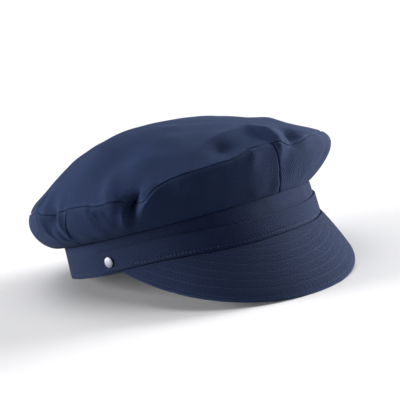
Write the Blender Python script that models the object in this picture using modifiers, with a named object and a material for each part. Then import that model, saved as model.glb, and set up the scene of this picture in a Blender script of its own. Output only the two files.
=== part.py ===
"""A soft cotton sailor cap, resting on the edge of its peak and the back of its band.

Metres, +Z up, front towards -Y, the wearer's right towards -X. Every piece is drawn upright in the cap's own
frame, where the band's lower edge lies at height 0, and is then tipped back as the cap rests on a table.

Places on the cap are given by an angle and a share:
  angle  degrees round the cap, 0 at the front, 90 at the wearer's right, -90 at the left
  share  0 where the crown's wall leaves the band, 1 at the rim seam, 2 at the middle of the top
"""

import math

import bmesh
import bpy
import numpy as np
from mathutils import Matrix, Vector

# Sizes of the band, which is what fits the head
HEAD_LENGTH = 0.1885
HEAD_WIDTH = 0.1716
BAND_WALL = 0.0024
BAND_HEIGHT = 0.0232
BAND_LEAN = 0.0008

# How far the band's lower edge dips over the brow, full to the first angle and gone at the second
BROW_DROP = 0.0026
BROW_FULL_ANGLE = 12.0
BROW_END_ANGLE = 60.0

# Sizes of the crown. The rim seam stands out from the band by the flare and above it by the wall
CLOTH = 0.0015
CROWN_FLARE = 0.0202
CROWN_WALL = 0.0303
CROWN_RISE = 0.0380
APEX_SETBACK = 0.008
FOOT_INSET = 0.0009

# Sizes of the strap laid on the band over the peak
STRAP_THICK = 0.0014
STRAP_HEIGHT = 0.0142
STRAP_LIFT = 0.0020
STRAP_ANGLE = 84.8

# Sizes of the peak
# The outer edge stands forward of the band and hangs below it, most at the front
PEAK_FORWARD = 0.0250
PEAK_DROP = 0.0432
PEAK_CORNER = 0.0008
PEAK_ROUNDING = 1.15
PEAK_THICK = 0.0020
PEAK_ANGLE = 71.5
PEAK_ARCH = 0.0010

# Sizes of the two strap rivets, and where they stand on the strap
RIVET_RADIUS = 0.0037
RIVET_DOME = 0.0018
RIVET_EDGE = 0.0005
SHANK_RADIUS = 0.0013
RIVET_BACK_RADIUS = 0.0032
RIVET_BACK = 0.0007
RIVET_ANGLE = 77.8
RIVET_HEIGHT = 0.0086
DOME_ANGLES = (62.0, 34.0, 6.0)

# Clearance between touching pieces, and how much soft cloth is pressed flat where the cap rests
GAP = 0.0003
REST_FLAT = 0.0010

# Sizes of the shapes that cut: the depth of a rivet's hole, and the table under the cap
HOLE_DEPTH = 0.020
TABLE_WIDTH = 1.0
TABLE_DEPTH = 0.050

# How finely the faceted shapes are drawn
BAND_STEPS = 80
STRAP_STEPS = 46
PEAK_STEPS = 40
PEAK_ROWS = 5
RIVET_SIDES = 16
SHARP_ANGLE = 50.0
WELD = 0.00005

# The crown's columns: from each angle on, the step to the next one
STEP_COLUMNS = ("angle", "step")
STEPS = (
    (-180, 5.4),
    (-24, 2.8),
    (42, 1.5),
    (66, 2.8),
    (104, 5.4),
)

# The crown's meridian at a few angles. The rim, the belly and the foot are three places on the wall: "out" is a
# share of CROWN_FLARE and "up" a share of CROWN_WALL, both measured from the top of the band. "fullness" says how
# far the top panel swells before it turns in to the middle: 2 is a plain dome, 3 is well filled.
SECTION_COLUMNS = ("angle", "rim_out", "rim_up", "belly_out", "belly_up", "foot_out", "foot_up", "fullness")
SECTIONS = (
    (-180, 0.78, 0.95, 0.95, 0.60, 0.60, 0.18, 2.7),
    (-135, 0.80, 0.98, 0.95, 0.60, 0.58, 0.18, 2.7),
    (-90, 0.75, 1.02, 0.98, 0.62, 0.48, 0.18, 2.2),
    (-51, 0.80, 1.03, 1.06, 0.67, 0.40, 0.16, 1.9),
    (-25, 0.68, 1.10, 0.88, 0.75, 0.32, 0.22, 1.9),
    (0, 0.75, 1.13, 0.74, 0.84, 0.30, 0.28, 2.1),
    (20, 0.80, 1.02, 0.74, 0.80, 0.30, 0.30, 2.6),
    (37, 0.86, 0.98, 0.80, 0.78, 0.34, 0.28, 3.1),
    (60, 0.90, 0.88, 0.90, 0.62, 0.45, 0.22, 3.5),
    (90, 0.84, 0.96, 0.95, 0.60, 0.55, 0.18, 3.05),
    (129, 0.75, 0.952, 0.94, 0.58, 0.52, 0.12, 2.45),
    (155, 0.74, 0.96, 0.95, 0.58, 0.56, 0.15, 2.5),
)
FOOT_SHARE = 0.33
BELLY_SHARE = 0.72

# The crown's dents and ridges, on a chart where the rim is a circle of radius 1 and the wall lies outside it.
# "reach" is the middle's distance from the middle of the top, "heading" is 0 for a fold that runs outwards and 90
# for one that runs round the cap, "length" and "width" are half sizes on the chart, and "depth" is a share of
# CROWN_FLARE, negative for a ridge. "crisp" is 0 for a round dent and 1 for a sharp crease.
FOLD_COLUMNS = ("angle", "reach", "heading", "length", "width", "depth", "crisp")
FOLDS = (
    (56.5, 1.10, 35, 0.13, 0.052, 0.42, 0.1),
    (51.5, 1.14, 62, 0.14, 0.045, -0.11, 0.1),
    (63, 0.99, 0, 0.10, 0.055, -0.10, 0.0),
    (71, 1.05, 4, 0.04, 0.022, 0.09, 0.3),
    (87, 1.10, 4, 0.13, 0.030, -0.08, 0.3),
    (91, 1.05, -20, 0.10, 0.040, 0.12, 0.0),
    (95.5, 1.12, -12, 0.17, 0.035, -0.14, 0.2),
    (19, 0.92, 90, 0.13, 0.050, 0.12, 0.0),
    (8, 0.80, 84, 0.30, 0.045, -0.10, 0.2),
    (-2, 0.93, 4, 0.13, 0.038, -0.18, 0.2),
    (-13, 0.98, 48, 0.15, 0.055, 0.34, 0.2),
    (47, 0.87, 84, 0.14, 0.045, -0.10, 0.0),
    (62, 0.80, 60, 0.20, 0.090, 0.16, 0.0),
    (75, 0.60, 0, 0.26, 0.080, -0.07, 0.0),
    (38, 1.11, 70, 0.10, 0.050, -0.05, 0.0),
    (-31, 1.17, 45, 0.08, 0.025, 0.08, 0.3),
    (-74, 1.02, -22, 0.16, 0.060, 0.22, 0.2),
    (-118, 0.99, 14, 0.18, 0.065, 0.24, 0.2),
    (-150, 0.82, 70, 0.20, 0.080, 0.12, 0.0),
    (124, 0.95, 90, 0.13, 0.060, -0.08, 0.0),
    (147, 0.98, 14, 0.16, 0.055, 0.16, 0.1),
    (168, 1.02, -10, 0.17, 0.060, 0.22, 0.2),
    (-95, 0.70, 80, 0.22, 0.090, 0.10, 0.0),
    (-39, 0.72, 90, 0.15, 0.070, -0.09, 0.0),
)
WALL_ON_CHART = 0.35

# How fast a sharp crease falls away to its sides and a fold towards its ends, and the share of the wall at the
# band, and of the top at its middle, over which the cloth is held smooth
CREASE_FALL = 1.4
FOLD_FADE = 1.2
HELD_SHARE = 0.3

# The four upright seams of the crown's wall: their angle at the band and at the rim
SEAM_COLUMNS = ("seam", "at_band", "at_rim")
SEAMS = (
    ("back_left", -180.0, -180.0),
    ("left", -90.0, -86.0),
    ("front", -5.0, 2.0),
    ("right", 91.0, 81.5),
    ("back_right", 180.0, 180.0),
)
QUARTERS = ("crown_back_left", "crown_front_left", "crown_front_right", "crown_back_right")
WALL_SHARES = (0.0, 0.12, 0.28, 0.46, 0.64, 0.80, 0.91, 1.0)
TOP_SHARES = (1.0, 1.04, 1.10, 1.18, 1.28, 1.42, 1.60, 1.80)

# How far apart the points are that give the cloth's direction, in degrees and on the chart: close together for
# the cloth itself, further apart for the way that it goes through to its inner face, and widest for the way
# that a fold is pushed, which has to turn slowly over the rim
CLOSE_PROBE = (0.8, 0.012)
THROUGH_PROBE = (1.6, 0.05)
PUSH_PROBE = (6.0, 0.16)
STEEPEST = 0.65

# How far a seam's or a rivet's direction is measured: in degrees, in shares of the crown and in metres
PROBE_ANGLE = 1.0
PROBE_SHARE = 0.01
PROBE_OUT = 0.01

# Colours as they look in the photo (linear), with roughness and metallic value
NAVY = (0.030, 0.046, 0.105)
NAVY_DARK = (0.024, 0.036, 0.082)
NICKEL = (0.62, 0.63, 0.66)

HALF_LENGTH = HEAD_LENGTH / 2 + BAND_WALL
HALF_WIDTH = HEAD_WIDTH / 2 + BAND_WALL


def column(table, columns, name):
    """One named column of a table, as an array."""
    return np.array([row[columns.index(name)] for row in table], float)


def on_band(angle, out, height):
    """A point beside the band: out from its outer face at the lower edge, along the face's normal."""
    turn = np.radians(angle)
    normal_x = -np.sin(turn) / HALF_WIDTH
    normal_y = -np.cos(turn) / HALF_LENGTH
    length = np.hypot(normal_x, normal_y)
    x = -HALF_WIDTH * np.sin(turn) + out * normal_x / length
    y = -HALF_LENGTH * np.cos(turn) + out * normal_y / length
    return np.stack(np.broadcast_arrays(x, y, height), -1)


def fade(value, full, gone):
    """1 up to the first value, 0 from the second on, and a smooth curve between them."""
    t = np.clip((np.asarray(value, float) - full) / (gone - full), 0.0, 1.0)
    return 1.0 - t * t * (3 - 2 * t)


def strap_foot(angle):
    """Height of the strap's lower edge, which dips over the brow."""
    return STRAP_LIFT - (STRAP_LIFT + BROW_DROP) * fade(np.abs(angle), BROW_FULL_ANGLE, BROW_END_ANGLE)


def band_foot(angle):
    """Height of the band's lower edge, which runs behind the root of the peak."""
    return strap_foot(angle) - STRAP_LIFT


def around(name, angle):
    """A column of SECTIONS at any angle, on a smooth curve that closes round the cap."""
    angles = column(SECTIONS, SECTION_COLUMNS, "angle")
    values = column(SECTIONS, SECTION_COLUMNS, name)
    angles = np.concatenate([angles[-2:] - 360, angles, angles[:3] + 360])
    values = np.concatenate([values[-2:], values, values[:3]])
    slopes = np.zeros_like(values)
    slopes[1:-1] = (values[2:] - values[:-2]) / (angles[2:] - angles[:-2])
    place = (np.asarray(angle, float) + 180) % 360 - 180
    row = np.clip(np.searchsorted(angles, place, side="right") - 1, 1, len(angles) - 3)
    span = angles[row + 1] - angles[row]
    t = (place - angles[row]) / span
    start = values[row] * (2 * t**3 - 3 * t**2 + 1) + values[row + 1] * (3 * t**2 - 2 * t**3)
    return start + span * (slopes[row] * (t**3 - 2 * t**2 + t) + slopes[row + 1] * (t**3 - t**2))


def through(values, shares, share):
    """The cubic that takes the four values at the four shares."""
    total = 0.0
    for here, value in zip(shares, values):
        weight = 1.0
        for other in shares:
            if other != here:
                weight = weight * (share - other) / (here - other)
        total = total + value * weight
    return total


def smooth_crown(angle, share):
    """A point on the crown's outer face before it is creased."""
    angle, share = np.broadcast_arrays(np.asarray(angle, float), np.asarray(share, float))
    rim_out = around("rim_out", angle) * CROWN_FLARE
    rim_up = around("rim_up", angle) * CROWN_WALL
    outs = (
        np.full_like(angle, -BAND_LEAN - FOOT_INSET),
        around("foot_out", angle) * CROWN_FLARE,
        around("belly_out", angle) * CROWN_FLARE,
        rim_out,
    )
    ups = (
        np.full_like(angle, GAP),
        around("foot_up", angle) * CROWN_WALL,
        around("belly_up", angle) * CROWN_WALL,
        rim_up,
    )
    shares = (0.0, FOOT_SHARE, BELLY_SHARE, 1.0)
    on_wall = np.clip(share, 0.0, 1.0)
    wall = on_band(angle, through(outs, shares, on_wall), BAND_HEIGHT + through(ups, shares, on_wall))
    rim = on_band(angle, rim_out, BAND_HEIGHT + rim_up)
    inwards = np.clip(share - 1.0, 0.0, 1.0)[..., None]
    apex = np.array([0.0, APEX_SETBACK, BAND_HEIGHT + CROWN_WALL + CROWN_RISE])
    height_share = np.maximum(1.0 - inwards, 1e-9) ** around("fullness", angle)[..., None]
    flat = rim[..., :2] * (1 - inwards) + apex[:2] * inwards
    height = rim[..., 2:] * height_share + apex[2] * (1 - height_share)
    top = np.concatenate([flat, height], -1)
    return np.where(share[..., None] <= 1.0, wall, top)


def chart_reach(share):
    """The distance from the middle of the chart at a share of the crown."""
    return np.where(share <= 1.0, 1.0 + (1.0 - share) * WALL_ON_CHART, 2.0 - share)


def chart_share(reach):
    """The share of the crown at a distance from the middle of the chart."""
    return np.where(reach >= 1.0, 1.0 - (reach - 1.0) / WALL_ON_CHART, 2.0 - reach)


def facing(surface, angle, share, probe):
    """The outward normal of a surface of the crown, the same on both sides of every seam."""
    angle, share = np.broadcast_arrays(np.asarray(angle, float), np.asarray(share, float))
    aside, away = probe
    along = surface(angle + aside, share) - surface(angle - aside, share)
    low = np.minimum(chart_reach(share) + away, 1.0 + WALL_ON_CHART)
    high = np.maximum(chart_reach(share) - away, CLOSE_PROBE[1])
    up = surface(angle, chart_share(high)) - surface(angle, chart_share(low))
    normal = np.cross(up, along)
    return normal / np.linalg.norm(normal, axis=-1, keepdims=True)


def relief(angle, share):
    """How far the folds stand out of the smooth crown, in metres, negative in a dent."""
    reach = chart_reach(share)
    turn = np.radians(angle)
    here = np.stack([reach * np.sin(turn), reach * np.cos(turn)], -1)
    total = np.zeros_like(reach)
    for row in FOLDS:
        fold = dict(zip(FOLD_COLUMNS, row))
        at = math.radians(fold["angle"])
        heading = math.radians(fold["heading"])
        outward = np.array([math.sin(at), math.cos(at)])
        sideways = np.array([math.cos(at), -math.sin(at)])
        runs = outward * math.cos(heading) + sideways * math.sin(heading)
        crosses = np.array([runs[1], -runs[0]])
        offset = here - outward * fold["reach"]
        along = (offset @ runs) / fold["length"]
        across = np.abs(offset @ crosses) / fold["width"]
        valley = (1 - fold["crisp"]) * np.exp(-(across**2)) + fold["crisp"] * np.exp(-CREASE_FALL * across)
        total = total - fold["depth"] * CROWN_FLARE * valley * np.exp(-(along**2) * FOLD_FADE)
    # The foot of the wall is sewn down to the band, and the middle of the top hangs smooth
    held = np.clip(share / HELD_SHARE, 0.0, 1.0) * np.clip((2.0 - share) / HELD_SHARE, 0.0, 1.0)
    return total * held


def crown(angle, share):
    """A point on the crown's outer face, creased."""
    angle, share = np.broadcast_arrays(np.asarray(angle, float), np.asarray(share, float))
    lift = relief(angle, share)[..., None]
    return smooth_crown(angle, share) + facing(smooth_crown, angle, share, PUSH_PROBE) * lift


def crown_inner(angle, share):
    """The same point on the cloth's inner face, straight through the cloth on the sides of a fold too."""
    through_cloth = facing(smooth_crown, angle, share, THROUGH_PROBE)
    steepness = np.sum(through_cloth * facing(crown, angle, share, CLOSE_PROBE), -1, keepdims=True)
    return crown(angle, share) - through_cloth * CLOTH / np.maximum(steepness, STEEPEST)


def crown_angles(start, stop):
    """Angles from start to stop, as close together as STEPS says."""
    begins = column(STEPS, STEP_COLUMNS, "angle")
    steps = column(STEPS, STEP_COLUMNS, "step")
    marks = [start]
    while marks[-1] < stop:
        stretch = np.searchsorted(begins, marks[-1] + 1e-6) - 1
        marks.append(marks[-1] + steps[max(stretch, 0)])
    return start + (np.array(marks) - start) * (stop - start) / (marks[-1] - start)


def material(name, colour, roughness, metallic=0.0):
    """A Principled material."""
    made = bpy.data.materials.new(name)
    made.use_nodes = True
    shader = made.node_tree.nodes["Principled BSDF"]
    shader.inputs["Base Color"].default_value = (*colour, 1.0)
    shader.inputs["Roughness"].default_value = roughness
    shader.inputs["Metallic"].default_value = metallic
    return made


def add_object(name, mesh, finish, cap, folder):
    """Puts a mesh into the cap's collection, on the cap's tipped frame."""
    made = bpy.data.objects.new(name, mesh)
    folder.objects.link(made)
    made.parent = cap
    if finish:
        mesh.materials.append(finish)
    return made


def sheet_mesh(name, grid, closed=False):
    """An open sheet of quads through a grid of points, closed into a ring if its columns meet."""
    rows, columns = grid.shape[:2]
    shell = bmesh.new()
    verts = [[shell.verts.new(Vector(grid[i, j])) for j in range(columns)] for i in range(rows)]
    last = columns if closed else columns - 1
    for i in range(rows - 1):
        for j in range(last):
            k = (j + 1) % columns
            shell.faces.new((verts[i][j], verts[i + 1][j], verts[i + 1][k], verts[i][k]))
    mesh = bpy.data.meshes.new(name)
    shell.to_mesh(mesh)
    shell.free()
    return mesh


def loft_mesh(name, outer, inner, closed=False, outer_tip=None, inner_tip=None):
    """A closed wall lofted between two grids of points, one on each face of the cloth."""
    rows, columns = outer.shape[:2]
    wall = bmesh.new()
    faces = []
    for grid in (outer, inner):
        faces.append([[wall.verts.new(Vector(grid[i, j])) for j in range(columns)] for i in range(rows)])
    out, into = faces
    last = columns if closed else columns - 1
    for i in range(rows - 1):
        for j in range(last):
            k = (j + 1) % columns
            wall.faces.new((out[i][j], out[i + 1][j], out[i + 1][k], out[i][k]))
            wall.faces.new((into[i][j], into[i][k], into[i + 1][k], into[i + 1][j]))
    for j in range(last):
        k = (j + 1) % columns
        wall.faces.new((out[0][j], out[0][k], into[0][k], into[0][j]))
        if outer_tip is None:
            wall.faces.new((out[-1][j], into[-1][j], into[-1][k], out[-1][k]))
    if not closed:
        for i in range(rows - 1):
            wall.faces.new((out[i][0], into[i][0], into[i + 1][0], out[i + 1][0]))
            wall.faces.new((out[i][-1], out[i + 1][-1], into[i + 1][-1], into[i][-1]))
    if outer_tip is not None:
        top = wall.verts.new(Vector(outer_tip))
        under = wall.verts.new(Vector(inner_tip))
        for j in range(columns):
            k = (j + 1) % columns
            wall.faces.new((out[-1][j], top, out[-1][k]))
            wall.faces.new((into[-1][k], under, into[-1][j]))
    bmesh.ops.recalc_face_normals(wall, faces=wall.faces)
    mesh = bpy.data.meshes.new(name)
    wall.to_mesh(mesh)
    wall.free()
    mesh.shade_smooth()
    mesh.set_sharp_from_angle(angle=math.radians(SHARP_ANGLE))
    return mesh


def seam_angle(row, share):
    """The angle of an upright seam at a share of the wall."""
    seam = dict(zip(SEAM_COLUMNS, row))
    return seam["at_band"] + (seam["at_rim"] - seam["at_band"]) * share


def half_gap(angle, share):
    """Half the clearance at an upright seam, in degrees round the cap."""
    step = crown(angle + PROBE_ANGLE, share) - crown(angle, share)
    return PROBE_ANGLE * GAP / 2 / np.linalg.norm(step, axis=-1)


def rim_angles(first, second):
    """The angles of a side panel's columns at the rim, which the top panel shares."""
    return crown_angles(seam_angle(first, 1.0), seam_angle(second, 1.0))


def beside_rim(angle, side):
    """The share that lies half a clearance below the rim (side -1) or above it (side 1)."""
    step = crown(angle, 1.0 + side * PROBE_SHARE) - crown(angle, 1.0)
    return 1.0 + side * PROBE_SHARE * GAP / 2 / np.linalg.norm(step, axis=-1)


def build_quarters(finish, cap, folder):
    """The four side panels of the crown, one from each upright seam to the next."""
    shares = np.array(WALL_SHARES)
    for name, first, second in zip(QUARTERS, SEAMS, SEAMS[1:]):
        columns = rim_angles(first, second)
        along = (columns - columns[0]) / (columns[-1] - columns[0])
        start = seam_angle(first, shares)
        stop = seam_angle(second, shares)
        start = start + half_gap(start, shares)
        stop = stop - half_gap(stop, shares)
        angles = start[:, None] + (stop - start)[:, None] * along[None, :]
        spread = np.repeat(shares[:, None], len(along), 1)
        spread[-1] = beside_rim(angles[-1], -1)
        mesh = loft_mesh(name, crown(angles, spread), crown_inner(angles, spread))
        add_object(name, mesh, finish, cap, folder)


def build_crown_top(finish, cap, folder):
    """The round top panel, a single piece of cloth sewn to the quarters at the rim seam."""
    ring = np.concatenate([rim_angles(first, second)[:-1] for first, second in zip(SEAMS, SEAMS[1:])])
    angles, spread = np.meshgrid(ring, TOP_SHARES)
    spread[0] = beside_rim(ring, 1)
    outer_tip = smooth_crown(0.0, 2.0)
    inner_tip = outer_tip - np.array([0.0, 0.0, CLOTH])
    outer = crown(angles, spread)
    inner = crown_inner(angles, spread)
    mesh = loft_mesh("crown_top", outer, inner, True, outer_tip, inner_tip)
    add_object("crown_top", mesh, finish, cap, folder)


def build_band(finish, cap, folder):
    """The doubled ring of cloth that goes round the head."""
    angles = np.arange(BAND_STEPS) * 360.0 / BAND_STEPS - 180.0
    grid = np.stack([
        on_band(angles, 0.0, band_foot(angles)),
        on_band(angles, -BAND_LEAN, BAND_HEIGHT),
    ])
    band = add_object("band", sheet_mesh("band", grid, closed=True), finish, cap, folder)
    wall = band.modifiers.new("wall", "SOLIDIFY")
    wall.thickness = BAND_WALL
    wall.offset = -1.0
    wall.use_even_offset = True
    return band


def build_strap(finish, cap, folder):
    """The strap laid flat on the band from rivet to rivet, its lower edge over the root of the peak."""
    angles = np.linspace(-STRAP_ANGLE, STRAP_ANGLE, STRAP_STEPS + 1)
    rows = []
    for height in (strap_foot(angles), strap_foot(angles) + STRAP_HEIGHT):
        lean = BAND_LEAN * height / BAND_HEIGHT
        rows.append(on_band(angles, GAP + STRAP_THICK - lean, height))
    strap = add_object("chin_strap", sheet_mesh("chin_strap", np.stack(rows)), finish, cap, folder)
    wall = strap.modifiers.new("wall", "SOLIDIFY")
    wall.thickness = STRAP_THICK
    wall.offset = -1.0
    return strap


def peak_point(angle, share):
    """A point on the peak's upper face: share 0 under the strap's edge, 1 at the outer edge."""
    angle, share = np.broadcast_arrays(np.asarray(angle, float), np.asarray(share, float))
    front = np.cos(np.clip(angle / PEAK_ANGLE, -1.0, 1.0) * math.pi / 2)
    root_out = GAP + PEAK_THICK
    root_up = strap_foot(angle) - GAP
    along_out = (PEAK_FORWARD - root_out) * front**PEAK_ROUNDING
    along_up = -PEAK_CORNER - (PEAK_DROP - PEAK_CORNER) * front - root_up
    reach = np.hypot(along_out, along_up)
    arch = PEAK_ARCH * front * 4 * share * (1 - share) / reach
    out = root_out + along_out * share - along_up * arch
    height = root_up + along_up * share + along_out * arch
    return on_band(angle, out, height)


def build_peak(finish, cap, folder):
    """The stitched cloth-covered peak, hanging from the front of the band's lower edge."""
    angles = np.linspace(-PEAK_ANGLE, PEAK_ANGLE, PEAK_STEPS + 1)
    spread, shares = np.meshgrid(angles, np.linspace(0.0, 1.0, PEAK_ROWS + 1))
    grid = peak_point(spread, shares)[::-1]
    peak = add_object("peak", sheet_mesh("peak", grid), finish, cap, folder)
    wall = peak.modifiers.new("wall", "SOLIDIFY")
    wall.thickness = PEAK_THICK
    wall.offset = -1.0
    return peak


def rivet_frame(side):
    """The place and the outward direction of a rivet, on the strap's outer face."""
    angle = side * RIVET_ANGLE
    face = GAP + STRAP_THICK - BAND_LEAN * RIVET_HEIGHT / BAND_HEIGHT
    place = Vector(on_band(angle, face, RIVET_HEIGHT))
    beyond = Vector(on_band(angle, face + PROBE_OUT, RIVET_HEIGHT))
    return place, (beyond - place).normalized()


def rivet_mesh(name):
    """A turned rivet along +Z: dome, shank and the flat head inside the band."""
    inside = -(STRAP_THICK + BAND_WALL + 2 * GAP) - GAP
    rise = RIVET_DOME - RIVET_EDGE
    outline = [(0.0, GAP + RIVET_DOME)]
    for turn in np.radians(DOME_ANGLES):
        outline.append((RIVET_RADIUS * math.cos(turn), GAP + RIVET_EDGE + rise * math.sin(turn)))
    outline += [
        (RIVET_RADIUS, GAP),
        (SHANK_RADIUS, GAP),
        (SHANK_RADIUS, inside),
        (RIVET_BACK_RADIUS, inside),
        (RIVET_BACK_RADIUS, inside - RIVET_BACK),
        (0.0, inside - RIVET_BACK),
    ]
    profile = bpy.data.meshes.new(name)
    edges = [(i, i + 1) for i in range(len(outline) - 1)]
    profile.from_pydata([(x, 0.0, z) for x, z in outline], edges, [])
    return profile


def build_rivet(name, side, finish, cap, folder):
    """One strap rivet, through the strap and the band."""
    rivet = add_object(name, rivet_mesh(name), finish, cap, folder)
    place, outward = rivet_frame(side)
    rivet.matrix_local = Matrix.Translation(place) @ outward.to_track_quat("Z", "Y").to_matrix().to_4x4()
    turned = rivet.modifiers.new("turned", "SCREW")
    turned.axis = "Z"
    turned.steps = RIVET_SIDES
    turned.render_steps = RIVET_SIDES
    turned.use_merge_vertices = True
    turned.merge_threshold = WELD
    turned.use_smooth_shade = True
    return rivet


def shank_cutter(side, cap, folder):
    """The hole that a rivet's shank needs through the strap and the band."""
    bpy.ops.mesh.primitive_cylinder_add(vertices=RIVET_SIDES, radius=SHANK_RADIUS + GAP, depth=HOLE_DEPTH)
    cutter = bpy.context.object
    cutter.name = f"shank_hole_{'right' if side > 0 else 'left'}"
    place, outward = rivet_frame(side)
    cutter.parent = cap
    cutter.matrix_local = Matrix.Translation(place) @ outward.to_track_quat("Z", "Y").to_matrix().to_4x4()
    move_to(cutter, folder)
    return cutter


def move_to(made, folder):
    """Moves an object made by an operator into a collection, drawn as wire."""
    for old in list(made.users_collection):
        old.objects.unlink(made)
    folder.objects.link(made)
    made.hide_render = True
    made.display_type = "WIRE"


def table_cutter(folder):
    """The table that the cap rests on, which presses its lowest cloth flat."""
    bpy.ops.mesh.primitive_cube_add(size=1.0, location=(0.0, 0.0, -TABLE_DEPTH / 2))
    table = bpy.context.object
    table.name = "table"
    table.scale = (TABLE_WIDTH, TABLE_WIDTH, TABLE_DEPTH)
    move_to(table, folder)
    return table


def cut(piece, cutter):
    """Takes the cutter's shape out of a piece."""
    modifier = piece.modifiers.new(cutter.name, "BOOLEAN")
    modifier.operation = "DIFFERENCE"
    modifier.object = cutter


def rest_tilt():
    """How far the cap tips back so that the peak's edge and the back of the band lie level."""
    tip = peak_point(0.0, 1.0)
    slope = tip - peak_point(0.0, 0.9)
    under = PEAK_THICK / np.linalg.norm(slope)
    length = HALF_LENGTH - tip[1] + slope[2] * under
    drop = -tip[2] - slope[1] * under
    return math.atan2(drop, length)


def centre_cap(cap, folder):
    """Moves the cap sideways so that its box is centred on the origin."""
    bpy.context.view_layer.update()
    graph = bpy.context.evaluated_depsgraph_get()
    points = []
    for piece in folder.objects:
        shown = piece.evaluated_get(graph)
        points += [shown.matrix_world @ vertex.co for vertex in shown.data.vertices]
    for axis in (0, 1):
        values = [point[axis] for point in points]
        cap.location[axis] -= (min(values) + max(values)) / 2


def main():
    for old in list(bpy.data.objects):
        bpy.data.objects.remove(old)
    folder = bpy.data.collections.new("sailor_cap")
    cutters = bpy.data.collections.new("cutters")
    bpy.context.scene.collection.children.link(folder)
    bpy.context.scene.collection.children.link(cutters)

    tilt = rest_tilt()
    cap = bpy.data.objects.new("cap", None)
    bpy.context.scene.collection.objects.link(cap)
    cap.rotation_euler.x = -tilt
    cap.location.z = HALF_LENGTH * math.sin(tilt) - REST_FLAT

    twill = material("navy_twill", NAVY, 0.85)
    lower_twill = material("navy_twill_band", NAVY_DARK, 0.85)
    nickel = material("nickel", NICKEL, 0.25, 1.0)

    build_crown_top(twill, cap, folder)
    build_quarters(twill, cap, folder)
    band = build_band(lower_twill, cap, folder)
    strap = build_strap(lower_twill, cap, folder)
    peak = build_peak(lower_twill, cap, folder)
    for side, name in ((1, "rivet_right"), (-1, "rivet_left")):
        build_rivet(name, side, nickel, cap, folder)
        hole = shank_cutter(side, cap, cutters)
        cut(band, hole)
        cut(strap, hole)
    table = table_cutter(cutters)
    cut(band, table)
    cut(peak, table)
    centre_cap(cap, folder)


main()
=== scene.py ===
"""A soft navy sailor cap, at rest on the edge of its peak and the back of its band.

Metres, +Z up, peak towards -Y, the wearer's right towards -X. Each piece is drawn upright, with the band's
lower edge at height 0, and then tipped back to where the solids lie. Angles go round the cap in degrees, 0 at
the front and 90 at the wearer's right. On the crown, share runs from 0 at the band to 1 at the rim seam and 2
at the middle of the top.
"""

import math

import bmesh
import bpy
import numpy as np
from mathutils import Matrix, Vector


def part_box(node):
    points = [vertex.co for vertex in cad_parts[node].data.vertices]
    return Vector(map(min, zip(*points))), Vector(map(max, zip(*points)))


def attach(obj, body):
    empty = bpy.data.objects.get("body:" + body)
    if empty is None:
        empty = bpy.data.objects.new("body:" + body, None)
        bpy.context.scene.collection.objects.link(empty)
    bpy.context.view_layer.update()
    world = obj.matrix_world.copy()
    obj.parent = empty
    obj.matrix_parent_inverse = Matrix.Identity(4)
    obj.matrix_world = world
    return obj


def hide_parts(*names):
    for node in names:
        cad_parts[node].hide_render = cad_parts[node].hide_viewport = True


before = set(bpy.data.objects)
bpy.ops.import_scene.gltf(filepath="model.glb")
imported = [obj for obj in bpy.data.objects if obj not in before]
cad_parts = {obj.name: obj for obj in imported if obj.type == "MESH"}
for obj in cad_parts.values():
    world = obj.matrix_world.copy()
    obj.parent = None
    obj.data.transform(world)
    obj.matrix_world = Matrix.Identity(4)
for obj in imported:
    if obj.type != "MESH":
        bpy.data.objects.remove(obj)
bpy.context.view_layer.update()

# Head band
# A strip of cotton twill folded double along its lower hem and sewn into a ring. The crown is sewn inside its
# upper edge, and a row of stitching holds the hem.

HEAD_LENGTH = 0.1885
HEAD_WIDTH = 0.1716
BAND_WALL = 0.0024
BAND_HEIGHT = 0.0232
BAND_LEAN = 0.0008
HALF_LENGTH = HEAD_LENGTH / 2 + BAND_WALL
HALF_WIDTH = HEAD_WIDTH / 2 + BAND_WALL
BROW_DROP = 0.0026
BROW_FULL_ANGLE = 12.0
BROW_END_ANGLE = 60.0
STRAP_LIFT = 0.0020
BAND_COLUMNS = 420
HEM_STITCH_RISE = 0.0032
HEM_STITCH_DENT = 0.00022
HEM_DENT_WIDTH = 0.0007
HEM_STITCH_LENGTH = 0.0019
HEM_STITCH_WIDTH = 0.00036
HEM_STITCH_PITCH = 0.0026
HEM_STITCH_SINK = 0.32
BAND_SAG = 0.00018
BAND_SAG_LENGTHS = (0.012, 0.05)
BAND_EDGE_RUB = 0.35
BAND_RUB_HEIGHT = 0.0016
BAND_FACE_ROWS = 26
BAND_EDGE_ROWS = 9
TWILL_SLANT = 58.0
LINT_SHEEN = 0.09
THREAD_TWIST = 0.0008

# How far the cap tips back, from the peak's edge to the band's back, and how deep its lowest cloth is pressed
REST_LENGTH = 0.216487
REST_DROP = 0.044043
REST_FLAT = 0.0010
TILT = math.atan2(REST_DROP, REST_LENGTH)


def on_band(angle, out, height):
    """A point beside the band, out from its outer face along the face's normal."""
    turn = np.radians(angle)
    normal_x = -np.sin(turn) / HALF_WIDTH
    normal_y = -np.cos(turn) / HALF_LENGTH
    length = np.hypot(normal_x, normal_y)
    x = -HALF_WIDTH * np.sin(turn) + out * normal_x / length
    y = -HALF_LENGTH * np.cos(turn) + out * normal_y / length
    return np.stack(np.broadcast_arrays(x, y, height), -1)


def fade(value, full, gone):
    """1 up to the first value, 0 from the second on, and a smooth curve between them."""
    t = np.clip((np.asarray(value, float) - full) / (gone - full), 0.0, 1.0)
    return 1.0 - t * t * (3 - 2 * t)


def strap_foot(angle):
    """Height of the strap's lower edge, which dips over the brow."""
    return STRAP_LIFT - (STRAP_LIFT + BROW_DROP) * fade(np.abs(angle), BROW_FULL_ANGLE, BROW_END_ANGLE)


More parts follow.
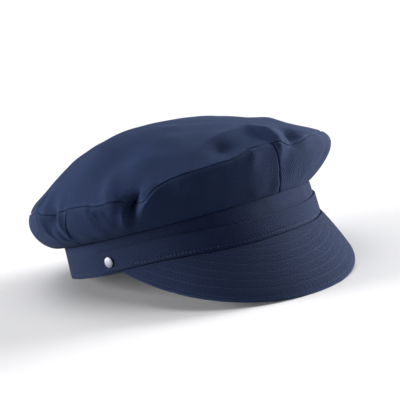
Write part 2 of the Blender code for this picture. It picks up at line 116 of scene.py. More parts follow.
def seat(points):
    """Tips points of the upright cap back to where it rests, and keeps them above the table."""
    low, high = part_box("band")
    middle = (low[0] + high[0]) / 2
    back = high[1] - (HALF_LENGTH - BAND_LEAN) * math.cos(TILT) - BAND_HEIGHT * math.sin(TILT)
    x, y, z = points[..., 0], points[..., 1], points[..., 2]
    tipped_y = y * math.cos(TILT) + z * math.sin(TILT) + back
    tipped_z = z * math.cos(TILT) - y * math.sin(TILT) + HALF_LENGTH * math.sin(TILT) - REST_FLAT
    return np.stack([x + middle, tipped_y, np.maximum(tipped_z, 0.0)], -1)


def lengths_along(points, axis):
    """Running length of a grid's lines along one of its axes, in metres."""
    steps = np.linalg.norm(np.diff(points, axis=axis), axis=-1)
    start = np.zeros_like(np.take(steps, [0], axis=axis))
    return np.concatenate([start, np.cumsum(steps, axis=axis)], axis=axis)


def waves(x, y, seed, shortest, longest, count=28):
    """Soft random waves over two lengths in metres, about -1 to 1."""
    draw = np.random.default_rng(seed)
    heading = draw.uniform(0, 2 * math.pi, count)
    phase = draw.uniform(0, 2 * math.pi, count)
    size = draw.uniform(shortest, longest, count)
    total = 0.0
    for turn, shift, length in zip(heading, phase, size):
        total = total + np.sin(2 * math.pi * (x * math.cos(turn) + y * math.sin(turn)) / length + shift)
    return total / math.sqrt(count)


def close_points(mesh, sharp=70.0):
    """Joins points that lie together, turns all faces outwards and shades the mesh smooth."""
    work = bmesh.new()
    work.from_mesh(mesh)
    bmesh.ops.remove_doubles(work, verts=work.verts, dist=0.000002)
    bmesh.ops.recalc_face_normals(work, faces=work.faces)
    work.to_mesh(mesh)
    work.free()
    mesh.shade_smooth()
    mesh.set_sharp_from_angle(angle=math.radians(sharp))


def wall_mesh(name, grid, weave, wear, wrap=False, open_after=None):
    """A closed cloth wall from a loop of rows: the outer face's, then the inner face's, back to the start.

    The columns either wrap round the cap or end in a flat edge. No faces are made after the row open_after,
    where both faces close in a point of their own. weave is the flat cloth's own place in metres."""
    rows, columns = grid.shape[:2]
    last = columns if wrap else columns - 1
    faces = []
    corners = []
    for i in range(rows):
        if i == open_after:
            continue
        k = (i + 1) % rows
        for j in range(last):
            m = (j + 1) % columns
            faces.append((i * columns + j, i * columns + m, k * columns + m, k * columns + j))
            corners.append((i, j, i, j + 1, k, j + 1, k, j))
    if not wrap:
        for end, turn in ((0, 1), (columns - 1, -1)):
            for i in range(rows // 2 - 1):
                loop = [i, i + 1, rows - 2 - i, rows - 1 - i][::turn]
                faces.append(tuple(row * columns + end for row in loop))
                corners.append(tuple(value for row in loop for value in (row, end)))
    mesh = bpy.data.meshes.new(name)
    mesh.from_pydata(seat(grid).reshape(-1, 3).tolist(), [], faces)
    places = np.array(corners).reshape(-1, 2)
    mesh.uv_layers.new(name="weave")
    mesh.uv_layers["weave"].data.foreach_set("uv", weave[places[:, 0], places[:, 1]].ravel())
    mesh.attributes.new("wear", "FLOAT", "POINT").data.foreach_set("value", wear.ravel())
    close_points(mesh)
    return mesh


def add_piece(name, mesh, finish, node=None):
    """Puts a mesh into the scene as a piece of the cap that stands for a solid or lies on one."""
    piece = bpy.data.objects.new(name, mesh)
    bpy.context.scene.collection.objects.link(piece)
    mesh.materials.append(finish)
    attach(piece, "root")
    if node:
        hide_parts(node)
    return piece


def linear(colour):
    """An sRGB hex colour as the linear values that a shader takes."""
    values = [int(colour[i:i + 2], 16) / 255 for i in (0, 2, 4)]
    return (*(v / 12.92 if v <= 0.04045 else ((v + 0.055) / 1.055) ** 2.4 for v in values), 1.0)


def add_node(tree, kind, inputs=None, **settings):
    """Adds a node with its settings. Each input takes a value or another node's output."""
    made = tree.nodes.new(kind)
    for name, value in settings.items():
        setattr(made, name, value)
    for socket, value in (inputs or {}).items():
        if isinstance(value, bpy.types.NodeSocket):
            tree.links.new(value, made.inputs[socket])
        else:
            made.inputs[socket].default_value = value
    return made


def woven_twill(name, valley, crest, rubbed, wale, relief):
    """Dyed cotton drill: diagonal wales of twisted yarn under a short lint that catches light from the side.

    The colour is darker between the wales and paler on their crests, following the same height as the bump:
    painted shade in the grooves and painted light on the crests. Edges that rub are paler. A real wale is
    0.55 mm wide. It is drawn up to twice that, so that the render can show it."""
    made = bpy.data.materials.new(name)
    made.use_nodes = True
    tree = made.node_tree
    tree.nodes.clear()
    flat = add_node(tree, "ShaderNodeUVMap", uv_map="weave").outputs["UV"]
    turned = add_node(
        tree,
        "ShaderNodeMapping",
        {"Vector": flat, "Rotation": (0.0, 0.0, math.radians(TWILL_SLANT))},
    )
    across = add_node(
        tree,
        "ShaderNodeMapping",
        {"Vector": flat, "Rotation": (0.0, 0.0, math.radians(TWILL_SLANT - 90.0))},
    )
    ridges = add_node(
        tree,
        "ShaderNodeTexWave",
        {"Vector": turned.outputs["Vector"], "Scale": math.pi / 10 / wale, "Distortion": 2.6,
         "Detail": 2.0, "Detail Scale": 1.2, "Detail Roughness": 0.6},
        bands_direction="X",
    )
    yarns = add_node(
        tree,
        "ShaderNodeTexWave",
        {"Vector": across.outputs["Vector"], "Scale": math.pi / 10 / (wale * 0.8), "Distortion": 3.0,
         "Detail": 2.0, "Detail Scale": 0.8, "Detail Roughness": 0.6},
        bands_direction="X",
    )
    slubs = add_node(
        tree,
        "ShaderNodeTexNoise",
        {"Vector": flat, "Scale": 900.0, "Detail": 3.0, "Roughness": 0.65},
    )
    clouds = add_node(
        tree,
        "ShaderNodeTexNoise",
        {"Vector": flat, "Scale": 38.0, "Detail": 4.0, "Roughness": 0.55},
    )
    broken = add_node(
        tree,
        "ShaderNodeMath",
        {0: ridges.outputs["Fac"], 1: add_node(
            tree, "ShaderNodeMapRange",
            {"Value": yarns.outputs["Fac"], "To Min": 0.62, "To Max": 1.0}).outputs["Result"]},
        operation="MULTIPLY",
    )
    tufts = add_node(
        tree,
        "ShaderNodeMapRange",
        {"Value": slubs.outputs["Fac"], "From Min": 0.34, "From Max": 0.66},
    )
    lifted = add_node(
        tree,
        "ShaderNodeMix",
        {"Factor": 0.6, "A": broken.outputs["Value"], "B": tufts.outputs["Result"]},
    )
    # Base colour darker in the grooves between the wales and paler on their crests, taken from the bump's own
    # height: painted shade and painted light
    painted_wale_shade = add_node(
        tree,
        "ShaderNodeMix",
        {"Factor": add_node(
            tree, "ShaderNodeMapRange",
            {"Value": lifted.outputs["Result"], "From Min": 0.1, "From Max": 0.9}).outputs["Result"],
         6: linear(valley), 7: linear(crest)},
        data_type="RGBA",
    )
    shaded = add_node(
        tree,
        "ShaderNodeHueSaturation",
        {"Color": painted_wale_shade.outputs[2], "Value": add_node(
            tree, "ShaderNodeMapRange",
            {"Value": clouds.outputs["Fac"], "From Min": 0.3, "From Max": 0.7, "To Min": 0.90,
             "To Max": 1.10}).outputs["Result"]},
    )
    worn = add_node(
        tree,
        "ShaderNodeMix",
        {"Factor": add_node(
            tree, "ShaderNodeMath",
            {0: add_node(tree, "ShaderNodeAttribute", attribute_name="wear").outputs["Fac"],
             1: broken.outputs["Value"]}, operation="MULTIPLY").outputs["Value"],
         6: shaded.outputs["Color"], 7: linear(rubbed)},
        data_type="RGBA",
    )
    bump = add_node(
        tree,
        "ShaderNodeBump",
        {"Height": lifted.outputs["Result"], "Strength": 1.0, "Distance": relief},
    )
    matt = add_node(
        tree,
        "ShaderNodeMapRange",
        {"Value": slubs.outputs["Fac"], "From Min": 0.3, "From Max": 0.7, "To Min": 0.82, "To Max": 0.96},
    )
    shader = add_node(
        tree,
        "ShaderNodeBsdfPrincipled",
        {"Base Color": worn.outputs[2], "Roughness": matt.outputs["Result"], "Normal": bump.outputs["Normal"],
         "Sheen Weight": LINT_SHEEN, "Sheen Roughness": 0.5, "Sheen Tint": linear("6C90C4"),
         "Specular IOR Level": 0.15},
    )
    add_node(tree, "ShaderNodeOutputMaterial", {"Surface": shader.outputs["BSDF"]})
    return made


def stitch_mesh(name, rows, length, width, spacing, sink):
    """Rows of thread stitches, each a small tapered bead along its row, sunk a little in the cloth."""
    stations = np.array([-1.0, -0.86, -0.5, 0.0, 0.5, 0.86, 1.0])
    fullness = np.array([0.0, 0.62, 0.93, 1.0, 0.93, 0.62, 0.0])
    sides = 6
    turn = np.arange(sides) * 2 * math.pi / sides
    ring = np.stack([np.cos(turn), np.sin(turn)], -1)
    verts = []
    faces = []
    for line, normals in rows:
        run = lengths_along(line, 0)
        count = int(run[-1] / spacing)
        for number in range(count):
            middle = (number + 0.5) * run[-1] / count
            ends = [np.stack([np.interp(middle + side * length / 2, run, line[:, axis]) for axis in range(3)])
                    for side in (-1, 1)]
            place = np.stack([np.interp(middle, run, line[:, axis]) for axis in range(3)])
            normal = np.stack([np.interp(middle, run, normals[:, axis]) for axis in range(3)])
            along = (ends[1] - ends[0]) / np.linalg.norm(ends[1] - ends[0])
            aside = np.cross(normal, along)
            aside /= np.linalg.norm(aside)
            normal = np.cross(along, aside)
            base = len(verts)
            for station, share in zip(stations, fullness):
                centre = place + along * station * length / 2 + normal * width * (0.5 * share - sink)
                if share == 0.0:
                    verts.append(centre)
                    continue
                for across, up in ring:
                    verts.append(centre + (aside * across + normal * up) * share * width / 2)
            rings = [base + 1 + step * sides for step in range(len(stations) - 2)]
            for side in range(sides):
                after = (side + 1) % sides
                faces.append((base, rings[0] + after, rings[0] + side))
                for here, there in zip(rings, rings[1:]):
                    faces.append((here + side, here + after, there + after, there + side))
                faces.append((rings[-1] + side, rings[-1] + after, rings[-1] + sides))
    mesh = bpy.data.meshes.new(name)
    mesh.from_pydata(seat(np.array(verts)).tolist(), [], faces)
    mesh.shade_smooth()
    return mesh


def spun_thread(name, dark, light):
    """Mercerised cotton sewing thread of two plies, a little smoother than the cloth. Its colour is lighter
    on the slanting ridges of the twist and darker between them, following the same height as the bump:
    painted light and painted shade."""
    made = bpy.data.materials.new(name)
    made.use_nodes = True
    tree = made.node_tree
    tree.nodes.clear()
    place = add_node(tree, "ShaderNodeTexCoord").outputs["Object"]
    plies = add_node(
        tree,
        "ShaderNodeTexWave",
        {"Vector": place, "Scale": math.pi / 10 / THREAD_TWIST, "Distortion": 1.0},
        bands_direction="DIAGONAL",
    )
    # Colour lighter on the twist's ridges and darker in its grooves, taken from the bump's own height:
    # painted light and painted shade
    colour = add_node(
        tree,
        "ShaderNodeMix",
        {"Factor": plies.outputs["Fac"], 6: linear(dark), 7: linear(light)},
        data_type="RGBA",
    )
    bump = add_node(
        tree,
        "ShaderNodeBump",
        {"Height": plies.outputs["Fac"], "Strength": 0.5, "Distance": 0.00005},
    )
    shader = add_node(
        tree,
        "ShaderNodeBsdfPrincipled",
        {"Base Color": colour.outputs[2], "Roughness": 0.6, "Normal": bump.outputs["Normal"],
         "Sheen Weight": 0.1, "Sheen Roughness": 0.4, "Sheen Tint": linear("7C90C8"),
         "Specular IOR Level": 0.3},
    )
    add_node(tree, "ShaderNodeOutputMaterial", {"Surface": shader.outputs["BSDF"]})
    return made


def band_loop(angle):
    """The band's section at each angle: a loop of rows round its wall, how far out and how high."""
    foot = strap_foot(angle) - STRAP_LIFT
    radius = BAND_WALL / 2
    tall = np.linspace(0.0, 1.0, BAND_FACE_ROWS)
    corner = np.radians(np.linspace(0.0, 180.0, BAND_EDGE_ROWS))[1:-1]
    rows = []
    for share in tall:
        height = foot + radius + share * (BAND_HEIGHT - radius * 1.6 - foot)
        rows.append((np.zeros_like(angle), height))
    for turn in corner:
        upper_edge = rows[BAND_FACE_ROWS - 1][1] + 0.6 * radius * math.sin(turn)
        rows.append((radius * (math.cos(turn) - 1) + 0 * angle, upper_edge))
    for share in tall[::-1]:
        height = foot + radius + share * (BAND_HEIGHT - radius * 1.6 - foot)
        rows.append((np.full_like(angle, -BAND_WALL), height))
    for turn in corner:
        rows.append((-radius * (math.cos(turn) + 1) + 0 * angle, foot + radius - radius * math.sin(turn)))
    return rows


band_angles = np.arange(BAND_COLUMNS) * 360.0 / BAND_COLUMNS - 180.0
band_rows = band_loop(band_angles)
band_grid = []
for out, height in band_rows:
    rise = height - (strap_foot(band_angles) - STRAP_LIFT)
    dent = HEM_STITCH_DENT * np.exp(-(((rise - HEM_STITCH_RISE) / HEM_DENT_WIDTH) ** 2))
    sag = BAND_SAG * waves(np.radians(band_angles) * HALF_LENGTH, height, 3, *BAND_SAG_LENGTHS)
    face = np.where(out > -BAND_WALL / 2, 1.0, -1.0)
    lean = BAND_LEAN * height / BAND_HEIGHT
    band_grid.append(on_band(band_angles, out - lean + face * (sag - dent), height))
band_grid = np.array(band_grid)
band_run = lengths_along(on_band(np.append(band_angles, 180.0), 0.0, 0.0), 0)
band_drop = lengths_along(band_grid[:, 0], 0)
band_weave = np.stack(np.meshgrid(band_run, band_drop), -1)
band_rub = BAND_EDGE_RUB * np.exp(-((band_grid[:, :1, 2] / BAND_RUB_HEIGHT) ** 2))
band_wear = np.repeat(band_rub, BAND_COLUMNS, 1)

band_twill = woven_twill("band_twill", "09142A", "172548", "334768", 0.0010, 0.00080)
band = add_piece(
    "band_cloth",
    wall_mesh("band_cloth", band_grid, band_weave, band_wear, wrap=True),
    band_twill,
    "band",
)

hem_line = on_band(band_angles, 0.0, strap_foot(band_angles) - STRAP_LIFT + HEM_STITCH_RISE)
hem_normal = on_band(band_angles, 0.01, 0.0) - on_band(band_angles, 0.0, 0.0)
hem = add_piece(
    "band_hem_stitches",
    stitch_mesh(
        "band_hem_stitches",
        [(hem_line, hem_normal)],
        HEM_STITCH_LENGTH,
        HEM_STITCH_WIDTH,
        HEM_STITCH_PITCH,
        HEM_STITCH_SINK,
    ),
    spun_thread("navy_thread", "131B33", "2D3855"),
)

# Crown quarters
# Four curved side pieces of the same drill, cut wider than the band and sewn to each other by upright seams.
# The cloth is soft and unlined, so it bellies over the band and creases between the seams.

CLOTH = 0.0013
CROWN_FLARE = 0.0202
CROWN_WALL = 0.0303
CROWN_RISE = 0.0380
APEX_SETBACK = 0.008
FOOT_INSET = 0.0006
FOOT_GAP = 0.00005
GAP = 0.0003
WALL_ON_CHART = 0.35
FOOT_SHARE = 0.33
BELLY_SHARE = 0.72
PUSH_PROBE = (6.0, 0.16)
THROUGH_PROBE = (1.6, 0.05)
CLOSE_PROBE = (0.8, 0.012)
STEEPEST = 0.65
CHART_RADIUS = 0.105
RIM_ROUNDING = 0.018
ROUNDING_ENDS = 0.16
SEAM_ROLL = 0.0011
SEAM_DEPTH = 0.0010
PUCKER = 0.00028
PUCKER_REACH = 0.006
PUCKER_LENGTHS = (0.006, 0.016)
CLOTH_SWELL = 0.00022
CLOTH_SWELL_LENGTHS = (0.014, 0.045)
SEAM_RUB = 0.25
SEAM_RUB_MIDDLE = 0.0014
SEAM_RUB_WIDTH = 0.0012
CREASE_FALL = 1.4
FOLD_FADE = 1.2
HELD_SHARE = 0.3
FLAT_SHARE = 0.2

# The crown's meridian at a few angles: the rim, the belly and the foot of the wall, out as a share of
# CROWN_FLARE and up as a share of CROWN_WALL, and how far the top swells
SECTION_COLUMNS = ("angle", "rim_out", "rim_up", "belly_out", "belly_up", "foot_out", "foot_up", "fullness")
SECTIONS = (
    (-180, 0.78, 0.95, 0.95, 0.60, 0.60, 0.18, 2.7),
    (-135, 0.80, 0.98, 0.95, 0.60, 0.58, 0.18, 2.7),
    (-90, 0.75, 1.02, 0.98, 0.62, 0.48, 0.18, 2.2),
    (-51, 0.80, 1.03, 1.06, 0.67, 0.40, 0.16, 1.9),
    (-25, 0.68, 1.10, 0.88, 0.75, 0.32, 0.22, 1.9),
    (0, 0.75, 1.13, 0.74, 0.84, 0.30, 0.28, 2.1),
    (20, 0.80, 1.02, 0.74, 0.80, 0.30, 0.30, 2.6),
    (37, 0.86, 0.98, 0.80, 0.78, 0.34, 0.28, 3.1),
    (60, 0.90, 0.88, 0.90, 0.62, 0.45, 0.22, 3.5),
    (90, 0.84, 0.96, 0.95, 0.60, 0.55, 0.18, 3.05),
    (129, 0.75, 0.952, 0.94, 0.58, 0.52, 0.12, 2.45),
    (155, 0.74, 0.96, 0.95, 0.58, 0.56, 0.15, 2.5),
)

# The dents and ridges, on a chart where the rim is a circle of radius 1 and the wall lies outside it: where
# the middle is, which way it runs (0 outwards, 90 round the cap), half its length and width, its depth as a
# share of CROWN_FLARE (negative for a ridge), and 1 for a sharp crease. The first table is the solids' own.
FOLD_COLUMNS = ("angle", "reach", "heading", "length", "width", "depth", "crisp")
FOLDS = (
    (56.5, 1.10, 35, 0.13, 0.052, 0.42, 0.1),
    (51.5, 1.14, 62, 0.14, 0.045, -0.11, 0.1),
    (63, 0.99, 0, 0.10, 0.055, -0.10, 0.0),
    (71, 1.05, 4, 0.04, 0.022, 0.09, 0.3),
    (87, 1.10, 4, 0.13, 0.030, -0.08, 0.3),
    (91, 1.05, -20, 0.10, 0.040, 0.12, 0.0),
    (95.5, 1.12, -12, 0.17, 0.035, -0.14, 0.2),
    (19, 0.92, 90, 0.13, 0.050, 0.12, 0.0),
    (8, 0.80, 84, 0.30, 0.045, -0.10, 0.2),
    (-2, 0.93, 4, 0.13, 0.038, -0.18, 0.2),
    (-13, 0.98, 48, 0.15, 0.055, 0.34, 0.2),
    (47, 0.87, 84, 0.14, 0.045, -0.10, 0.0),
    (62, 0.80, 60, 0.20, 0.090, 0.16, 0.0),
    (75, 0.60, 0, 0.26, 0.080, -0.07, 0.0),
    (38, 1.11, 70, 0.10, 0.050, -0.05, 0.0),
    (-31, 1.17, 45, 0.08, 0.025, 0.08, 0.3),
    (-74, 1.02, -22, 0.16, 0.060, 0.22, 0.2),
    (-118, 0.99, 14, 0.18, 0.065, 0.24, 0.2),
    (-150, 0.82, 70, 0.20, 0.080, 0.12, 0.0),
    (124, 0.95, 90, 0.13, 0.060, -0.08, 0.0),
    (147, 0.98, 14, 0.16, 0.055, 0.16, 0.1),
    (168, 1.02, -10, 0.17, 0.060, 0.22, 0.2),
    (-95, 0.70, 80, 0.22, 0.090, 0.10, 0.0),
    (-39, 0.72, 90, 0.15, 0.070, -0.09, 0.0),
)
CREASES = (
    (56.4, 1.12, 35, 0.10, 0.015, 0.20, 0.3),
    (52.5, 1.14, 62, 0.10, 0.020, -0.15, 0.4),
    (47, 0.87, 84, 0.14, 0.050, 0.05, 0.0),
    (59.7, 1.13, 35, 0.12, 0.026, -0.17, 0.0),
    (58.6, 1.13, 35, 0.10, 0.020, -0.14, 0.0),
    (71, 1.07, 4, 0.05, 0.022, -0.08, 0.3),
    (73, 1.09, 0, 0.07, 0.022, -0.04, 0.2),
    (66, 1.10, 0, 0.05, 0.020, 0.03, 0.3),
    (90, 1.035, 0, 0.040, 0.038, 0.17, 0.0),
    (86, 1.07, 4, 0.12, 0.018, -0.02, 0.4),
    (98, 1.045, -34, 0.08, 0.026, -0.14, 0.2),
    (95, 1.13, -3, 0.13, 0.012, -0.03, 0.6),
    (95.5, 1.18, -12, 0.10, 0.035, 0.07, 0.0),
    (91, 1.16, 0, 0.07, 0.040, -0.12, 0.0),
    (104, 0.97, -20, 0.10, 0.025, -0.12, 0.3),
    (64.5, 0.955, 96, 0.09, 0.012, 0.035, 1.0),
    (19, 0.90, 80, 0.05, 0.045, 0.05, 0.0),
    (26, 0.92, 69, 0.05, 0.012, -0.03, 0.5),
    (5, 0.80, 84, 0.25, 0.045, 0.05, 0.0),
    (12, 0.81, 81, 0.20, 0.020, -0.05, 0.4),
    (-12, 0.73, 74, 0.16, 0.020, -0.05, 0.4),
    (-2, 0.92, 0, 0.10, 0.016, -0.06, 0.4),
    (38, 1.11, 0, 0.05, 0.040, -0.05, 0.0),
    (10, 1.07, 60, 0.06, 0.040, -0.05, 0.0),
    (-31, 1.17, 45, 0.08, 0.025, -0.06, 0.3),
)


def around(name, angle):
    """A column of SECTIONS at any angle, on a smooth curve that closes round the cap."""
    angles = np.array([row[0] for row in SECTIONS], float)
    values = np.array([row[SECTION_COLUMNS.index(name)] for row in SECTIONS], float)
    angles = np.concatenate([angles[-2:] - 360, angles, angles[:3] + 360])
    values = np.concatenate([values[-2:], values, values[:3]])
    slopes = np.zeros_like(values)
    slopes[1:-1] = (values[2:] - values[:-2]) / (angles[2:] - angles[:-2])
    place = (np.asarray(angle, float) + 180) % 360 - 180
    row = np.clip(np.searchsorted(angles, place, side="right") - 1, 1, len(angles) - 3)
    span = angles[row + 1] - angles[row]
    t = (place - angles[row]) / span
    start = values[row] * (2 * t**3 - 3 * t**2 + 1) + values[row + 1] * (3 * t**2 - 2 * t**3)
    return start + span * (slopes[row] * (t**3 - 2 * t**2 + t) + slopes[row + 1] * (t**3 - t**2))


def through(values, shares, share):
    """The cubic that takes the four values at the four shares."""
    total = 0.0
    for here, value in zip(shares, values):
        weight = 1.0
        for other in shares:
            if other != here:
                weight = weight * (share - other) / (here - other)
        total = total + value * weight
    return total


def sharp_crown(angle, share):
    """A point on the crown's outer face before it is creased, with an edge all round its rim."""
    angle, share = np.broadcast_arrays(np.asarray(angle, float), np.asarray(share, float))
    rim_out = around("rim_out", angle) * CROWN_FLARE
    rim_up = around("rim_up", angle) * CROWN_WALL
    outs = (
        np.full_like(angle, -BAND_LEAN - FOOT_INSET),
        around("foot_out", angle) * CROWN_FLARE,
        around("belly_out", angle) * CROWN_FLARE,
        rim_out,
    )
    ups = (
        np.full_like(angle, FOOT_GAP),
        around("foot_up", angle) * CROWN_WALL,
        around("belly_up", angle) * CROWN_WALL,
        rim_up,
    )
    shares = (0.0, FOOT_SHARE, BELLY_SHARE, 1.0)
    on_wall = np.clip(share, 0.0, 1.0)
    wall = on_band(angle, through(outs, shares, on_wall), BAND_HEIGHT + through(ups, shares, on_wall))
    rim = on_band(angle, rim_out, BAND_HEIGHT + rim_up)
    inwards = np.clip(share - 1.0, 0.0, 1.0)[..., None]
    apex = np.array([0.0, APEX_SETBACK, BAND_HEIGHT + CROWN_WALL + CROWN_RISE])
    height_share = np.maximum(1.0 - inwards, 1e-9) ** around("fullness", angle)[..., None]
    flat = rim[..., :2] * (1 - inwards) + apex[:2] * inwards
    height = rim[..., 2:] * height_share + apex[2] * (1 - height_share)
    return np.where(share[..., None] <= 1.0, wall, np.concatenate([flat, height], -1))


def chart_reach(share):
    """The distance from the middle of the chart at a share of the crown."""
    return np.where(share <= 1.0, 1.0 + (1.0 - share) * WALL_ON_CHART, 2.0 - share)


def chart_share(reach):
    """The share of the crown at a distance from the middle of the chart."""
    return np.where(reach >= 1.0, 1.0 - (reach - 1.0) / WALL_ON_CHART, 2.0 - reach)


def smooth_crown(angle, share):
    """A point on the crown's outer face before it is creased, with its rim rounded as soft cloth rounds."""
    angle, share = np.broadcast_arrays(np.asarray(angle, float), np.asarray(share, float))
    reach = chart_reach(share)
    step = RIM_ROUNDING * np.clip(1.0 - np.abs(reach - 1.0) / ROUNDING_ENDS, 0.0, 1.0)
    total = 0.0
    for steps, weight in ((-2, 1), (-1, 4), (0, 6), (1, 4), (2, 1)):
        total = total + sharp_crown(angle, chart_share(reach + steps * step)) * weight / 16
    return total


def facing(surface, angle, share, probe):
    """The outward normal of a surface of the crown, the same on both sides of every seam."""
    angle, share = np.broadcast_arrays(np.asarray(angle, float), np.asarray(share, float))
    aside, away = probe
    along = surface(angle + aside, share) - surface(angle - aside, share)
    low = np.minimum(chart_reach(share) + away, 1.0 + WALL_ON_CHART)
    high = np.maximum(chart_reach(share) - away, CLOSE_PROBE[1])
    up = surface(angle, chart_share(high)) - surface(angle, chart_share(low))
    normal = np.cross(up, along)
    return normal / np.linalg.norm(normal, axis=-1, keepdims=True)


def chart_place(angle, share):
    """A point's place on the chart, x and y."""
    reach = chart_reach(share)
    turn = np.radians(angle)
    return reach * np.sin(turn), reach * np.cos(turn)


def relief(angle, share):
    """How far the folds stand out of the smooth crown, in metres, negative in a dent."""
    here = np.stack(chart_place(angle, share), -1)
    total = np.zeros(here.shape[:-1])
    for row in FOLDS + CREASES:
        fold = dict(zip(FOLD_COLUMNS, row))
        at = math.radians(fold["angle"])
        heading = math.radians(fold["heading"])
        outward = np.array([math.sin(at), math.cos(at)])
        sideways = np.array([math.cos(at), -math.sin(at)])
        runs = outward * math.cos(heading) + sideways * math.sin(heading)
        crosses = np.array([runs[1], -runs[0]])
        offset = here - outward * fold["reach"]
        along = (offset @ runs) / fold["length"]
        across = np.abs(offset @ crosses) / fold["width"]
        valley = (1 - fold["crisp"]) * np.exp(-(across**2)) + fold["crisp"] * np.exp(-CREASE_FALL * across)
        total = total - fold["depth"] * CROWN_FLARE * valley * np.exp(-(along**2) * FOLD_FADE)
    # The foot of the wall is sewn down to the band, and the middle of the top hangs smooth
    held = np.clip(share / HELD_SHARE, 0.0, 1.0) * np.clip((2.0 - share) / HELD_SHARE, 0.0, 1.0)
    return total * held


def crown(angle, share):
    """A point on the crown's outer face, creased."""
    angle, share = np.broadcast_arrays(np.asarray(angle, float), np.asarray(share, float))
    lift = relief(angle, share)[..., None]
    return smooth_crown(angle, share) + facing(smooth_crown, angle, share, PUSH_PROBE) * lift


def rolled(distance, roll, depth):
    """How far the cloth has turned in at a distance from a seam."""
    near = np.clip(1.0 - distance / roll, 0.0, 1.0)
    return depth * (1.0 - np.sqrt(np.maximum(1.0 - near**2, 0.0)))


def crown_faces(angle, share, from_seams):
    """Both faces of the crown's cloth, turned in at its seams. from_seams holds pairs of a distance to a seam
    and that seam's roll."""
    base = crown(angle, share)
    outward = facing(crown, angle, share, CLOSE_PROBE)
    into = facing(smooth_crown, angle, share, THROUGH_PROBE)
    x, y = chart_place(angle, share)
    lift = CLOTH_SWELL * waves(x * CHART_RADIUS, y * CHART_RADIUS, 11, *CLOTH_SWELL_LENGTHS)
    turned = 0.0
    for distance, roll, run in from_seams:
        turned = np.maximum(turned, rolled(distance, roll, roll * SEAM_DEPTH / SEAM_ROLL))
        gather = waves(run, 0 * run, 5, *PUCKER_LENGTHS, 12)
        lift = lift + PUCKER * gather * np.exp(-distance / PUCKER_REACH)
    held = np.clip(share / FLAT_SHARE, 0.0, 1.0)
    outer = base + outward * (lift * held - turned)[..., None]
    steepness = np.sum(into * outward, -1, keepdims=True)
    inner = base - into * CLOTH / np.maximum(steepness, STEEPEST)
    return outer, inner


# The upright seams: the angle of each at the band and at the rim, and how wide the cloth rolls in at it, in
# SEAM_ROLLs
SEAMS = (
    ("back_left", -180.0, -180.0, 1.0),
    ("left", -90.0, -86.0, 1.0),
    ("front", -5.0, 2.0, 1.5),
    ("right", 91.0, 81.5, 1.0),
    ("back_right", 180.0, 180.0, 1.0),
)
# Where the seam between the quarters and the top runs: its share of the crown at a few angles, 1 at the rim
SEAM_LINE = (
    (-180, 1.0), (-45, 1.0), (-27, 0.92), (-20, 0.92), (-13, 0.83), (-6, 0.83), (0, 0.92), (4, 0.98),
    (9, 1.01), (13, 1.01), (18, 0.93), (28, 0.92), (38, 0.92), (42.5, 0.90), (45.5, 0.86), (48, 0.80),
    (50.5, 0.70), (52, 0.67), (54, 0.66), (56, 0.70), (57.5, 0.78), (58.5, 0.85), (60, 0.88), (69, 0.88),
    (72, 0.95), (77, 0.96), (81.5, 0.95), (84.5, 0.92), (90, 0.91), (94, 0.92), (98, 0.95), (102, 1.0),
    (180, 1.0),
)
QUARTERS = ("crown_back_left", "crown_front_left", "crown_front_right", "crown_back_right")
WALL_ROWS = 44
QUARTER_COLUMNS = 150


def seam_share(angle):
    """The rim seam's share of the crown at an angle, on an eased line through SEAM_LINE."""
    angles, shares = zip(*SEAM_LINE)
    return sum(np.interp(angle + aside, angles, shares) for aside in (-1.4, -0.7, 0.0, 0.7, 1.4)) / 5


def gathered_ends(count, closeness):
    """Shares from 0 to 1 that lie closer together at both ends."""
    even = np.linspace(0.0, 1.0, count)
    return even - closeness * np.sin(2 * math.pi * even) / (2 * math.pi)


crown_twill = woven_twill("crown_twill", "0B162D", "17274A", "334768", 0.0008, 0.00050)
for name, first, second in zip(QUARTERS, SEAMS, SEAMS[1:]):
    tall = gathered_ends(WALL_ROWS, 0.55)
    wide = gathered_ends(QUARTER_COLUMNS, 0.80)
    start = first[1] + (first[2] - first[1]) * tall
    stop = second[1] + (second[2] - second[1]) * tall
    angles = start[:, None] + (stop - start)[:, None] * wide[None, :]
    shares = tall[:, None] * seam_share(angles[-1])[None, :]
    plain = crown(angles, shares)
    round_run = lengths_along(plain, 1)
    up_run = lengths_along(plain, 0)
    outer, inner = crown_faces(angles, shares, (
        (up_run[-1:] - up_run, SEAM_ROLL, round_run + HALF_LENGTH * np.radians(angles[:, :1])),
        (round_run, SEAM_ROLL * first[3], up_run),
        (round_run[:, -1:] - round_run, SEAM_ROLL * second[3], up_run + 0.05),
    ))
    grid = np.concatenate([outer, inner[::-1]])
    weave = np.stack([round_run + HALF_LENGTH * math.radians(first[1]), up_run], -1)
    edge = np.minimum(np.minimum(round_run, round_run[:, -1:] - round_run), up_run[-1:] - up_run)
    wear = SEAM_RUB * np.exp(-((edge - SEAM_RUB_MIDDLE) / SEAM_RUB_WIDTH) ** 2)
    quarter = add_piece(
        name + "_cloth",
        wall_mesh(name, grid, np.concatenate([weave, weave[::-1]]), np.concatenate([wear, wear[::-1]])),
        crown_twill,
        name,
    )

# Crown top
# One round piece of the same drill, eased into the quarters at the rim seam. It hangs over whatever is under
# it, so the photo's long soft folds run across it.

TOP_ROWS = 74
TOP_COLUMNS = 420

